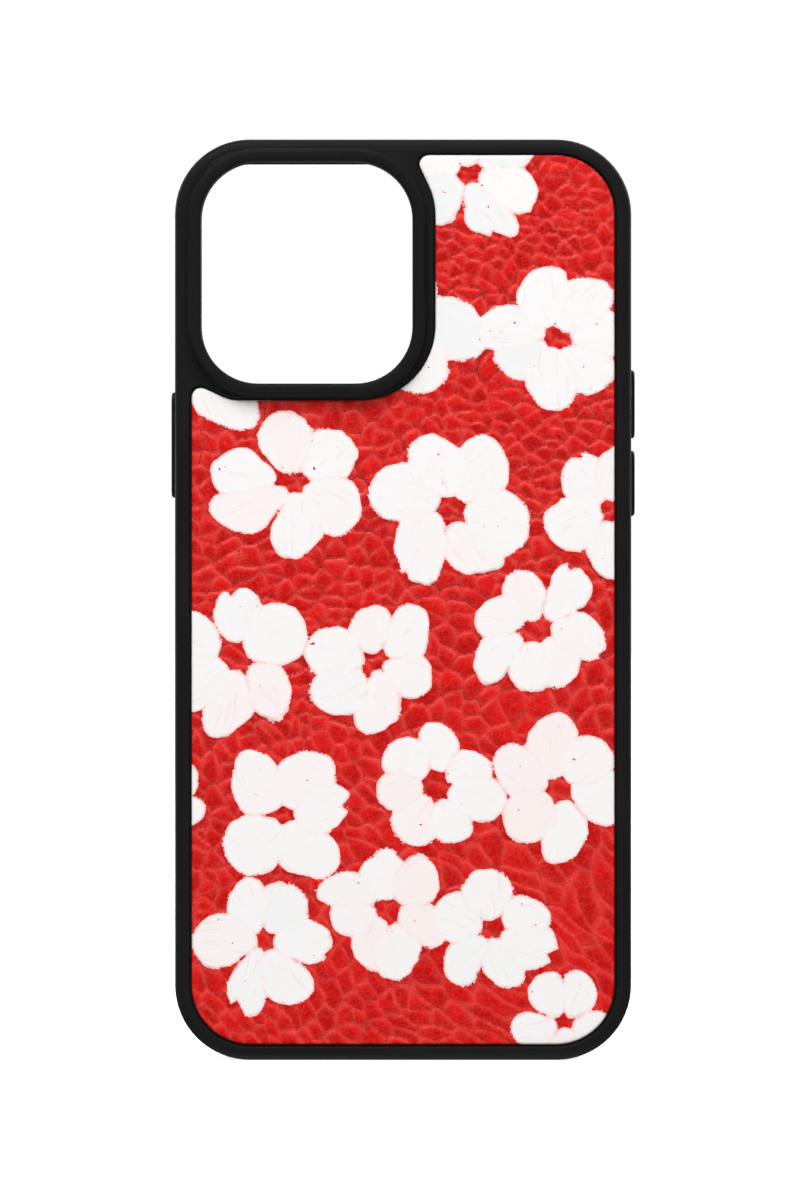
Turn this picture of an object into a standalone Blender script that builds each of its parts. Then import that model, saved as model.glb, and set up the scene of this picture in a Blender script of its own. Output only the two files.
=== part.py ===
"""Phone case: a hard plate with a leather back, held in a soft bumper frame that carries three buttons.

The case stands on its bottom edge. Seen from behind, +X is right and +Z is up. The leather back faces -Y,
and the screen side is open towards +Y. The origin is at the middle of the bottom, half way through the depth.
Sizes are in millimetres and become metres where a shape is made.
"""

import math

import bmesh
import bpy

MM = 0.001

# Overall size of the bumper frame, without the buttons.
CASE_WIDTH = 81.75
CASE_HEIGHT = 164.9
CORNER_RADIUS = 13.4
WALL = 2.5

# Depths, from the face of the camera guard to the front lip.
TOTAL_DEPTH = 14.6
GUARD_Y = -TOTAL_DEPTH / 2
FRONT_Y = TOTAL_DEPTH / 2
GUARD_HEIGHT = 1.6
REAR_Y = GUARD_Y + GUARD_HEIGHT
LIP_THICKNESS = 1.2
LIP_OVERHANG = 1.2

# The layers of the back, from the outside in, with a fine gap between each and the next.
LAYER_GAP = 0.03
LEATHER_RECESS = 0.3
LEATHER_THICKNESS = 1.1
LEATHER_ADHESIVE_THICKNESS = 0.15
PLATE_THICKNESS = 1.2
LINING_ADHESIVE_THICKNESS = 0.1
LINING_THICKNESS = 0.4

LEATHER_Y = REAR_Y + LEATHER_RECESS
LEATHER_ADHESIVE_Y = LEATHER_Y + LEATHER_THICKNESS + LAYER_GAP
PLATE_Y = LEATHER_ADHESIVE_Y + LEATHER_ADHESIVE_THICKNESS + LAYER_GAP
LINING_ADHESIVE_Y = PLATE_Y + PLATE_THICKNESS + LAYER_GAP
LINING_Y = LINING_ADHESIVE_Y + LINING_ADHESIVE_THICKNESS + LAYER_GAP
CAVITY_Y = LINING_Y + LINING_THICKNESS
LIP_Y = FRONT_Y - LIP_THICKNESS
GROOVE_REAR_Y = PLATE_Y - LAYER_GAP
GROOVE_FRONT_Y = LINING_ADHESIVE_Y

# How far each outline lies inside the outer outline of the case.
GROOVE_INSET = 1.6
PLATE_INSET = 1.65
LINING_INSET = WALL + 0.3
LINING_ADHESIVE_INSET = LINING_INSET + 0.4
LINING_TIP_RADIUS = 1.0
LEATHER_GAP = 0.35
LEATHER_ADHESIVE_INSET = LEATHER_GAP + 0.4

# Camera opening, the collar that lines it, and the raised guard around it.
OPENING_LEFT = -36.1
OPENING_RIGHT = 1.65
OPENING_BOTTOM = 121.1
OPENING_TOP = 160.8
OPENING_RADIUS = 10.2
COLLAR_WIDTH = 1.4
COLLAR_GAP = 0.15
GUARD_WIDTH = 2.3

# Window in the rear rim, which shows the leather, as corners (x, z, radius) taken clockwise from behind.
WINDOW_X = 38.2
WINDOW_BOTTOM = 2.5
WINDOW_TOP = 162.4
WINDOW_RADIUS = 10.9
SURROUND_X = 5.45
SURROUND_Z = 118.5
TIP_RADIUS = 2.0
WINDOW = (
    (1.4, WINDOW_TOP, TIP_RADIUS),
    (WINDOW_X, WINDOW_TOP, WINDOW_RADIUS),
    (WINDOW_X, WINDOW_BOTTOM, WINDOW_RADIUS),
    (-WINDOW_X, WINDOW_BOTTOM, WINDOW_RADIUS),
    (-WINDOW_X, 121.9, TIP_RADIUS),
    (-31.0, SURROUND_Z, 6.0),
    (SURROUND_X, SURROUND_Z, 13.1),
    (SURROUND_X, 153.9, 12.0),
)

# Rounding of the edges: radius and number of segments.
OUTER_ROUNDING = (1.7, 5)
GUARD_ROUNDING = (0.7, 3)
WINDOW_ROUNDING = (0.25, 2)
LIP_ROUNDING = (0.45, 2)
WALL_OPENING_ROUNDING = (0.3, 2)
CAP_ROUNDING = (0.5, 3)

# Side controls: middle height and length of each, all at the middle of the phone's thickness.
SIDE_Y = (CAVITY_Y + LIP_Y) / 2
POWER_BUTTON = (110.3, 19.0)
VOLUME_UP_BUTTON = (117.65, 12.3)
VOLUME_DOWN_BUTTON = (103.4, 11.8)
SWITCH_OPENING = (133.0, 11.0)
SWITCH_OPENING_WIDTH = 5.6

# A button, from the outside in: the cap, its flange, the room it travels in, and the retainer strip.
CAP_WIDTH = 4.0
CAP_PROUD = 0.8
CAP_CLEARANCE = 0.15
CAP_RADIUS = 1.9
SKIN = 0.8
FLANGE_MARGIN = 0.8
FLANGE_THICKNESS = 0.5
BUTTON_GAP = 0.05
BUTTON_TRAVEL = 0.4
RETAINER_THICKNESS = 0.6
RETAINER_MARGIN = 1.6
POCKET_CLEARANCE = 0.15
NUB_LENGTH = 4.0
NUB_WIDTH = 1.6

# Openings in the bottom wall: the charging port, and a sound slot on each side of it.
PORT_LENGTH = 13.0
PORT_WIDTH = 6.6
SOUND_SLOT_LENGTH = 14.0
SOUND_SLOT_WIDTH = 2.6
SOUND_SLOT_X = 17.5

# How far a cutter runs past a face, and how far an arc's straight steps may lie from the true arc.
CUT_PAST = 1.0
ARC_TOLERANCE = 0.018

OUTER_X = CASE_WIDTH / 2
INNER_X = OUTER_X - WALL

CASE = "phone_case"
CUTTERS = "cutters"


def clear_scene():
    """Remove every object, so that the script starts from nothing."""
    for item in list(bpy.data.objects):
        bpy.data.objects.remove(item, do_unlink=True)


def collection(name):
    """A new collection in the scene."""
    made = bpy.data.collections.new(name)
    bpy.context.scene.collection.children.link(made)
    return made


def material(name, colour, roughness, metallic=0.0):
    """A Principled material."""
    made = bpy.data.materials.new(name)
    made.use_nodes = True
    shader = made.node_tree.nodes["Principled BSDF"]
    shader.inputs["Base Color"].default_value = (*colour, 1.0)
    shader.inputs["Roughness"].default_value = roughness
    shader.inputs["Metallic"].default_value = metallic
    return made


# Outlines: a corner is (u, v, radius), and an outline is the list of points around its corners.


def box_corners(left, right, bottom, top, radius):
    """The four corners of a rounded rectangle, clockwise from the top left."""
    return (
        (left, top, radius),
        (right, top, radius),
        (right, bottom, radius),
        (left, bottom, radius),
    )


def case_corners(inset):
    """The outer outline of the case, moved inwards."""
    half = CASE_WIDTH / 2 - inset
    return box_corners(-half, half, inset, CASE_HEIGHT - inset, CORNER_RADIUS - inset)


def opening_corners(growth):
    """The camera opening, moved outwards."""
    return box_corners(
        OPENING_LEFT - growth,
        OPENING_RIGHT + growth,
        OPENING_BOTTOM - growth,
        OPENING_TOP + growth,
        OPENING_RADIUS + growth,
    )


def lining_corners(inset):
    """The outline of the lining or its adhesive, clockwise, with the camera corner left out."""
    half, top, radius = CASE_WIDTH / 2 - inset, CASE_HEIGHT - inset, CORNER_RADIUS - inset
    margin = COLLAR_WIDTH + COLLAR_GAP + inset - LINING_INSET
    beside, below = OPENING_RIGHT + margin, OPENING_BOTTOM - margin
    return (
        (beside, top, LINING_TIP_RADIUS),
        (half, top, radius),
        (half, inset, radius),
        (-half, inset, radius),
        (-half, below, LINING_TIP_RADIUS),
        (beside, below, OPENING_RADIUS + margin),
    )


def direction(start, end):
    """The unit vector from one corner to another."""
    du, dv = end[0] - start[0], end[1] - start[1]
    length = math.hypot(du, dv)
    return du / length, dv / length


def inset_corners(corners, distance):
    """Clockwise corners moved inwards by a distance, with each radius changed to match."""
    moved = []
    for index, corner in enumerate(corners):
        before = direction(corners[index - 1], corner)
        after = direction(corner, corners[(index + 1) % len(corners)])
        turn = before[0] * after[1] - before[1] * after[0]
        cosine = before[0] * after[0] + before[1] * after[1]
        reach = distance / (1.0 + cosine)
        inward = (before[1] + after[1], -before[0] - after[0])
        radius = corner[2] - math.copysign(distance, -turn)
        moved.append((corner[0] + inward[0] * reach, corner[1] + inward[1] * reach, radius))
    return moved


def outline(corners):
    """The points around the corners, with an arc at each."""
    points = []
    for index, corner in enumerate(corners):
        before = direction(corners[index - 1], corner)
        after = direction(corner, corners[(index + 1) % len(corners)])
        turn = math.atan2(
            before[0] * after[1] - before[1] * after[0],
            before[0] * after[0] + before[1] * after[1],
        )
        radius = corner[2]
        back = radius * math.tan(abs(turn) / 2)
        side = math.copysign(1.0, turn)
        centre = (
            corner[0] - before[0] * back - before[1] * radius * side,
            corner[1] - before[1] * back + before[0] * radius * side,
        )
        steps = max(2, math.ceil(abs(turn) / (2 * math.acos(1 - ARC_TOLERANCE / radius))))
        start = math.atan2(-before[0] * side, before[1] * side)
        for step in range(steps + 1):
            angle = start + turn * step / steps
            points.append((centre[0] + radius * math.cos(angle), centre[1] + radius * math.sin(angle)))
    return points


# Solids: an outline carried along an axis.

TURN_FOR_AXIS = {
    "X": (math.pi / 2, 0.0, math.pi / 2),
    "Y": (math.pi / 2, 0.0, 0.0),
    "Z": (0.0, 0.0, 0.0),
}


def prism(name, axis, start, end, outlines, home=(0.0, 0.0, 0.0)):
    """A closed solid between two planes across an axis, with its origin at home.

    The first outline is the outside and any others are holes. Their points are (y, z) for axis X, (x, z) for
    axis Y and (x, y) for axis Z, measured from home, as start and end are.
    """
    curve = bpy.data.curves.new(name, "CURVE")
    curve.dimensions = "2D"
    curve.fill_mode = "BOTH"
    curve.extrude = (end - start) / 2 * MM
    for points in outlines:
        spline = curve.splines.new("POLY")
        spline.points.add(len(points) - 1)
        for point, (u, v) in zip(spline.points, points):
            point.co = (u * MM, v * MM, 0.0, 1.0)
        spline.use_cyclic_u = True
    guide = bpy.data.objects.new(name, curve)
    bpy.context.scene.collection.objects.link(guide)
    guide.rotation_euler = TURN_FOR_AXIS[axis]
    bpy.context.view_layer.update()
    mesh = bpy.data.meshes.new_from_object(guide.evaluated_get(bpy.context.evaluated_depsgraph_get()))
    mesh.transform(guide.matrix_world)
    bpy.data.objects.remove(guide, do_unlink=True)
    bpy.data.curves.remove(curve)

    along = "XYZ".index(axis)
    shift = [0.0, 0.0, 0.0]
    shift[along] = (start + end) / 2 * MM
    form = bmesh.new()
    form.from_mesh(mesh)
    bmesh.ops.translate(form, verts=form.verts, vec=shift)
    bmesh.ops.remove_doubles(form, verts=form.verts, dist=1e-6)
    bmesh.ops.dissolve_limit(form, angle_limit=math.radians(1), verts=form.verts, edges=form.edges)
    bmesh.ops.recalc_face_normals(form, faces=form.faces)
    if form.calc_volume(signed=True) < 0:
        bmesh.ops.reverse_faces(form, faces=form.faces)
    form.to_mesh(mesh)
    form.free()
    mesh.name = name
    made = bpy.data.objects.new(name, mesh)
    made.location = [value * MM for value in home]
    return made


def as_cutter(made):
    """Put a solid among the cutters, out of the render."""
    bpy.data.collections[CUTTERS].objects.link(made)
    made.hide_render = True
    made.display_type = "WIRE"
    return made


def combine(body, operation, tool):
    """Cut a tool from a body, or join it to the body."""
    modifier = body.modifiers.new(tool.name, "BOOLEAN")
    modifier.operation = operation
    modifier.solver = "EXACT"
    modifier.object = as_cutter(tool)


def round_rims(body, rounding):
    """Round the edges between a solid's caps and its sides."""
    width, segments = rounding
    modifier = body.modifiers.new("rounding", "BEVEL")
    modifier.width = width * MM
    modifier.segments = segments
    modifier.limit_method = "ANGLE"
    modifier.angle_limit = math.radians(50)


def settle(made):
    """Replace an object's mesh by the one its modifiers give."""
    bpy.context.view_layer.update()
    mesh = bpy.data.meshes.new_from_object(made.evaluated_get(bpy.context.evaluated_depsgraph_get()))
    made.modifiers.clear()
    made.data = mesh


def round_edges(made, chosen, rounding):
    """Round the sharp edges of a mesh that a test of an edge's two ends, in millimetres, chooses."""
    width, segments = rounding
    form = bmesh.new()
    form.from_mesh(made.data)
    edges = [
        edge
        for edge in form.edges
        if edge.calc_face_angle(0.0) > math.radians(50) and all(chosen(*(v.co / MM)) for v in edge.verts)
    ]
    bmesh.ops.bevel(
        form,
        geom=edges,
        offset=width * MM,
        offset_type="OFFSET",
        segments=segments,
        profile=0.5,
        affect="EDGES",
        clamp_overlap=True,
    )
    form.to_mesh(made.data)
    form.free()


def finish(made, finish_material):
    """Put a piece in the case's collection, with its material and smooth shading."""
    bpy.data.collections[CASE].objects.link(made)
    made.data.materials.clear()
    made.data.materials.append(finish_material)
    made.data.shade_smooth()
    made.data.set_sharp_from_angle(angle=math.radians(30))
    return made


# The bumper frame.


def on_plane(value, plane):
    """Whether a coordinate lies on a plane."""
    return abs(value - plane) < 0.002


def in_window(x, y, z):
    """Whether a point lies on the rim of the window, and not on the guard or the outside of the case."""
    beside_guard = x < SURROUND_X + 0.5 and z > SURROUND_Z - 0.5
    on_guard = beside_guard and inside_guard(x, z)
    return on_plane(y, REAR_Y) and abs(x) < WINDOW_X + 0.05 and z < WINDOW_TOP + 0.05 and not on_guard


def inside_guard(x, z):
    """Whether a point lies within the guard's outline or on it."""
    grown = GUARD_WIDTH + 0.05
    corner = OPENING_RADIUS
    across = max(OPENING_LEFT + corner - x, x - OPENING_RIGHT + corner, 0.0)
    up = max(OPENING_BOTTOM + corner - z, z - OPENING_TOP + corner, 0.0)
    return math.hypot(across, up) <= corner + grown


def at_opening(x, y, z):
    """Whether a point lies on the camera opening's edge, at the top of the guard."""
    return on_plane(y, GUARD_Y) and OPENING_LEFT - 0.05 < x < OPENING_RIGHT + 0.05 and inside_guard(x, z)


def on_lip(x, y, z):
    """Whether a point lies on the inner edge of the front lip."""
    edge = WALL + LIP_OVERHANG - 0.05
    return on_plane(y, FRONT_Y) and abs(x) < OUTER_X - edge and edge < z < CASE_HEIGHT - edge


def on_outer_wall(x, _y, z):
    """Whether a point lies on the flat outside of a side wall or of the bottom wall."""
    return on_plane(abs(x), OUTER_X) or on_plane(z, 0.0)


def stadium(length, width, middle=(0.0, 0.0), upright=False):
    """The outline of a slot with round ends, along the first coordinate or the second."""
    across, up = (width, length) if upright else (length, width)
    u, v = middle
    radius = min(length, width) / 2 - 0.001
    return outline(box_corners(u - across / 2, u + across / 2, v - up / 2, v + up / 2, radius))


def upright_box(middle_z, length, width, radius):
    """A rounded rectangle in the (y, z) plane, centred on the side controls' line."""
    return outline(
        box_corners(SIDE_Y - width / 2, SIDE_Y + width / 2, middle_z - length / 2, middle_z + length / 2, radius)
    )


def cut_button_seat(frame, side, name, buttons):
    """Cut the slots, the flange pockets and the retainer pocket of one side's buttons."""
    skin_x = OUTER_X - SKIN
    retainer_x = skin_x - BUTTON_GAP * 2 - FLANGE_THICKNESS - BUTTON_TRAVEL
    for index, (middle, length) in enumerate(buttons):
        slot = upright_box(
            middle, length + 2 * CAP_CLEARANCE, CAP_WIDTH + 2 * CAP_CLEARANCE, CAP_RADIUS + CAP_CLEARANCE
        )
        pocket = upright_box(
            middle,
            length + 2 * (FLANGE_MARGIN + POCKET_CLEARANCE),
            CAP_WIDTH + 2 * (FLANGE_MARGIN + POCKET_CLEARANCE),
            CAP_RADIUS,
        )
        combine(frame, "DIFFERENCE", side_prism(f"{name}_slot_{index}", side, retainer_x, OUTER_X + CUT_PAST, [slot]))
        combine(frame, "DIFFERENCE", side_prism(f"{name}_pocket_{index}", side, retainer_x - 0.2, skin_x, [pocket]))
    low, high = retainer_span(buttons)
    seat = upright_box(
        (low + high) / 2, high - low + 2 * BUTTON_GAP, retainer_width() + 2 * BUTTON_GAP, CAP_RADIUS
    )
    combine(frame, "DIFFERENCE", side_prism(f"{name}_seat", side, INNER_X - CUT_PAST, retainer_x, [seat]))


def side_prism(name, side, inner, outer, outlines, home=(0.0, 0.0, 0.0)):
    """A prism along X between two distances from the middle plane, on the side that +1 or -1 names."""
    start, end = sorted((side * inner, side * outer))
    return prism(name, "X", start, end, outlines, home)


def retainer_span(buttons):
    """The lowest and the highest point of the retainer strip behind some buttons."""
    low = min(middle - length / 2 for middle, length in buttons) - RETAINER_MARGIN
    high = max(middle + length / 2 for middle, length in buttons) + RETAINER_MARGIN
    return low, high


def retainer_width():
    """The width of a retainer strip, through the depth of the case."""
    return CAP_WIDTH + 2 * RETAINER_MARGIN


def make_bumper_frame(finish_material):
    """The soft moulding: walls, rear rim, camera surround and guard, and front lip."""
    frame = prism("bumper_frame", "Y", REAR_Y, FRONT_Y, [outline(case_corners(0.0))])
    bpy.context.scene.collection.objects.link(frame)
    round_rims(frame, OUTER_ROUNDING)

    guard = prism("guard_block", "Y", GUARD_Y, REAR_Y + 1.0, [outline(opening_corners(GUARD_WIDTH))])
    round_rims(guard, GUARD_ROUNDING)
    combine(frame, "UNION", guard)

    window = outline(WINDOW)
    combine(frame, "DIFFERENCE", prism("window_cut", "Y", GUARD_Y - CUT_PAST, PLATE_Y, [window]))
    groove = outline(case_corners(GROOVE_INSET))
    combine(frame, "DIFFERENCE", prism("groove_cut", "Y", GROOVE_REAR_Y, GROOVE_FRONT_Y, [groove]))
    cavity = outline(case_corners(WALL))
    combine(frame, "DIFFERENCE", prism("cavity_cut", "Y", PLATE_Y + 0.5, LIP_Y, [cavity]))
    mouth = outline(case_corners(WALL + LIP_OVERHANG))
    combine(frame, "DIFFERENCE", prism("mouth_cut", "Y", LIP_Y - 0.5, FRONT_Y + CUT_PAST, [mouth]))

    collar = outline(opening_corners(COLLAR_WIDTH))
    combine(frame, "UNION", prism("collar_block", "Y", REAR_Y + 0.5, CAVITY_Y, [collar]))
    opening = outline(opening_corners(0.0))
    combine(frame, "DIFFERENCE", prism("opening_cut", "Y", GUARD_Y - CUT_PAST, CAVITY_Y + CUT_PAST, [opening]))

    cut_button_seat(frame, -1, "power", [POWER_BUTTON])
    cut_button_seat(frame, 1, "volume", [VOLUME_UP_BUTTON, VOLUME_DOWN_BUTTON])
    switch_z, switch_length = SWITCH_OPENING
    switch = stadium(switch_length, SWITCH_OPENING_WIDTH, (SIDE_Y, switch_z), upright=True)
    combine(frame, "DIFFERENCE", side_prism("switch_cut", 1, INNER_X - CUT_PAST, OUTER_X + CUT_PAST, [switch]))

    port = stadium(PORT_LENGTH, PORT_WIDTH, (0.0, SIDE_Y))
    combine(frame, "DIFFERENCE", prism("port_cut", "Z", -CUT_PAST, WALL + CUT_PAST, [port]))
    for side in (-1, 1):
        slot = stadium(SOUND_SLOT_LENGTH, SOUND_SLOT_WIDTH, (side * SOUND_SLOT_X, SIDE_Y))
        combine(frame, "DIFFERENCE", prism(f"sound_cut_{side}", "Z", -CUT_PAST, WALL + CUT_PAST, [slot]))

    settle(frame)
    round_edges(frame, in_window, WINDOW_ROUNDING)
    round_edges(frame, at_opening, GUARD_ROUNDING)
    round_edges(frame, on_lip, LIP_ROUNDING)
    round_edges(frame, on_outer_wall, WALL_OPENING_ROUNDING)
    bpy.context.scene.collection.objects.unlink(frame)
    return finish(frame, finish_material)


# The layers of the back.


def make_back_plate(finish_material):
    """The hard plate, with a hole for the frame's collar."""
    hole = outline(opening_corners(COLLAR_WIDTH + COLLAR_GAP))
    plate = prism("back_plate", "Y", PLATE_Y, PLATE_Y + PLATE_THICKNESS, [outline(case_corners(PLATE_INSET)), hole])
    return finish(plate, finish_material)


def make_lining_sheet(name, start, thickness, inset, finish_material):
    """The lining or its adhesive, on the inside of the plate and beside the frame's collar."""
    sheet = prism(name, "Y", start, start + thickness, [outline(lining_corners(inset))])
    return finish(sheet, finish_material)


def make_leather_panel(finish_material):
    """The leather, which fills the window with a fine gap around it."""
    edge = outline(inset_corners(WINDOW, LEATHER_GAP))
    panel = prism("leather_panel", "Y", LEATHER_Y, LEATHER_Y + LEATHER_THICKNESS, [edge])
    return finish(panel, finish_material)


def make_leather_adhesive(finish_material):
    """The adhesive between the leather and the plate."""
    edge = outline(inset_corners(WINDOW, LEATHER_ADHESIVE_INSET))
    start = LEATHER_ADHESIVE_Y
    sheet = prism("leather_adhesive", "Y", start, start + LEATHER_ADHESIVE_THICKNESS, [edge])
    return finish(sheet, finish_material)


# The buttons.


def make_button(name, side, button, finish_material):
    """A cap with a flange inside the wall and a nub that reaches the phone's own button.

    Its origin is at the middle of its outer face, on the line it slides along.
    """
    middle, length = button
    face_x = OUTER_X + CAP_PROUD
    flange_x = OUTER_X - SKIN - BUTTON_GAP
    home = (side * face_x, SIDE_Y, middle)

    def block(part, inner, outer, height, width, radius):
        edge = outline(box_corners(-width / 2, width / 2, -height / 2, height / 2, radius))
        return side_prism(part, side, inner - face_x, outer - face_x, [edge], home)

    cap = block(name, flange_x - FLANGE_THICKNESS / 2, face_x, length, CAP_WIDTH, CAP_RADIUS)
    round_rims(cap, CAP_ROUNDING)
    margin = 2 * FLANGE_MARGIN
    flange = block(
        f"{name}_flange", flange_x - FLANGE_THICKNESS, flange_x, length + margin, CAP_WIDTH + margin, CAP_RADIUS
    )
    combine(cap, "UNION", flange)
    nub = block(f"{name}_nub", INNER_X, flange_x - FLANGE_THICKNESS / 3, NUB_LENGTH, NUB_WIDTH, NUB_WIDTH / 3)
    combine(cap, "UNION", nub)
    return finish(cap, finish_material)


def make_retainer(name, side, buttons, finish_material):
    """The strip that keeps some buttons in their pockets, with a hole for each nub."""
    low, high = retainer_span(buttons)
    outer = OUTER_X - SKIN - 3 * BUTTON_GAP - FLANGE_THICKNESS - BUTTON_TRAVEL
    edges = [upright_box((low + high) / 2, high - low, retainer_width(), CAP_RADIUS)]
    for middle, _ in buttons:
        room = 2 * CAP_CLEARANCE
        edges.append(upright_box(middle, NUB_LENGTH + room, NUB_WIDTH + room, NUB_WIDTH / 3))
    strip = side_prism(name, side, outer - RETAINER_THICKNESS, outer, edges)
    return finish(strip, finish_material)


def main():
    """Build the case."""
    clear_scene()
    collection(CASE)
    collection(CUTTERS)
    soft_black = material("bumper_soft_plastic", (0.011, 0.011, 0.011), 0.62)
    button_black = material("button_plastic", (0.011, 0.011, 0.011), 0.5)
    plate_black = material("plate_plastic", (0.016, 0.016, 0.017), 0.4)
    retainer_grey = material("retainer_plastic", (0.05, 0.05, 0.052), 0.45)
    leather_red = material("leather", (0.69, 0.012, 0.012), 0.5)
    lining_grey = material("microfibre", (0.045, 0.045, 0.048), 0.95)
    adhesive_clear = material("adhesive", (0.6, 0.6, 0.56), 0.35)

    make_bumper_frame(soft_black)
    make_back_plate(plate_black)
    make_leather_adhesive(adhesive_clear)
    make_leather_panel(leather_red)
    make_lining_sheet(
        "lining_adhesive", LINING_ADHESIVE_Y, LINING_ADHESIVE_THICKNESS, LINING_ADHESIVE_INSET, adhesive_clear
    )
    make_lining_sheet("microfibre_lining", LINING_Y, LINING_THICKNESS, LINING_INSET, lining_grey)
    make_button("power_button", -1, POWER_BUTTON, button_black)
    make_button("volume_up_button", 1, VOLUME_UP_BUTTON, button_black)
    make_button("volume_down_button", 1, VOLUME_DOWN_BUTTON, button_black)
    make_retainer("power_button_retainer", -1, [POWER_BUTTON], retainer_grey)
    make_retainer("volume_button_retainer", 1, [VOLUME_UP_BUTTON, VOLUME_DOWN_BUTTON], retainer_grey)


main()
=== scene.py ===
"""A phone case stood on its bottom edge: red pebbled leather with a flower print, in a soft black bumper.

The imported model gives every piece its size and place. This script makes the surfaces that are soft or fine:
the leather with its grain and its print, the microfibre lining, and the smooth skins of the mouldings.
Seen from behind, +X is right and +Z is up, and the leather faces -Y. Lengths are in millimetres in the
classes below, and become metres where they go into Blender.
"""

import itertools
import json
import logging
import math
from collections.abc import Callable, Iterator
from dataclasses import dataclass, field
from enum import Enum

import bmesh
import bpy
import numpy as np
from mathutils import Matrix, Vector
from mathutils.geometry import delaunay_2d_cdt


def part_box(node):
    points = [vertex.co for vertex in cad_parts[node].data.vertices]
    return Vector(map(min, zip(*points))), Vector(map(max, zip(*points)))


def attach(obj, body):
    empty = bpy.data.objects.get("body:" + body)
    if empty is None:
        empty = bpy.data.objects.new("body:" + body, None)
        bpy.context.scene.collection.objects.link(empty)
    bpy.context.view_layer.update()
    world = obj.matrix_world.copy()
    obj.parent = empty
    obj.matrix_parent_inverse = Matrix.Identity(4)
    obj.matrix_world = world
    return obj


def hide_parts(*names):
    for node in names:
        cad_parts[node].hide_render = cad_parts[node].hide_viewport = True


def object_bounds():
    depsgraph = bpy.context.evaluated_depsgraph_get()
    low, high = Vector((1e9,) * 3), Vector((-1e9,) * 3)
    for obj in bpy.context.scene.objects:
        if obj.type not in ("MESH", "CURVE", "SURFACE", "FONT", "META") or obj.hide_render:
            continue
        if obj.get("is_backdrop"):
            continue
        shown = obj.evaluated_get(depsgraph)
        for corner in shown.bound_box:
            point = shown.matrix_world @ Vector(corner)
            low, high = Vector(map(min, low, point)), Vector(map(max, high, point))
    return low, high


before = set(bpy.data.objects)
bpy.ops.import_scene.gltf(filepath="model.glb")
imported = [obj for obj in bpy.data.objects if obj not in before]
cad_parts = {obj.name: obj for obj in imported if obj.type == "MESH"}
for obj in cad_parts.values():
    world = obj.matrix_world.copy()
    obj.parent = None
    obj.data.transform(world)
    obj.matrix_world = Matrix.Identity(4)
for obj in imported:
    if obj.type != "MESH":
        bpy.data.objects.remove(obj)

MM = 0.001
WELD = 0.002  # Packed corners closer than this are one corner.
JOIN = 1e-5  # Points and seeds closer than this are one.
TABLE_SIDE = 256  # Noise and cell patterns repeat after this many steps.
OUTSIDE = -8.0  # Stands for a place far outside the print.

Array = np.ndarray
Colour = tuple[float, float, float]
Socket = bpy.types.NodeSocket
Value = Socket | float | str | Colour | Vector

WHITE: Colour = (1.0, 1.0, 1.0)

log = logging.getLogger("phone_case")


class Facing(Enum):
    """Which way the seen face of a sheet looks: its sign along Y."""

    REAR = -1
    FRONT = 1


# Noise and outlines.


def smooth_noise(u: Array, v: Array, seed: int) -> Array:
    """Noise from -1 to 1: random values on a unit lattice, blended between by a quintic curve.

    Args:
        u: First coordinate of each point, in lattice steps.
        v: Second coordinate of each point, in lattice steps.
        seed: Which noise it is.

    Returns:
        The noise at each point.
    """
    side = TABLE_SIDE
    table = np.random.default_rng(seed).uniform(-1.0, 1.0, (side, side))
    column, row = np.floor(u).astype(int), np.floor(v).astype(int)
    across, up = u - column, v - row
    across = across**3 * (across * (across * 6 - 15) + 10)
    up = up**3 * (up * (up * 6 - 15) + 10)
    low = table[column % side, row % side] * (1 - across) + table[(column + 1) % side, row % side] * across
    above = (row + 1) % side
    high = table[column % side, above] * (1 - across) + table[(column + 1) % side, above] * across
    return low * (1 - up) + high * up


def smooth_step(value: Array, start: float, end: float) -> Array:
    """A step from 0 to 1 that follows the cubic 3t^2 - 2t^3 between its two ends.

    Args:
        value: Where to read the step.
        start: The step is 0 up to here.
        end: The step is 1 from here on.

    Returns:
        The step at each value.
    """
    t = np.clip((value - start) / (end - start), 0.0, 1.0)
    return t * t * (3 - 2 * t)


@dataclass(frozen=True)
class Wave:
    """Noise of one size and strength.

    Attributes:
        across: Size of its lumps along the first coordinate.
        up: Size of its lumps along the second coordinate.
        strength: Its greatest value.
        seed: Which noise it is.
    """

    across: float
    up: float
    strength: float
    seed: int

    def read(self, u: Array, v: Array) -> Array:
        """The noise at each point."""
        return self.strength * smooth_noise(u / self.across, v / self.up, self.seed)


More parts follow.
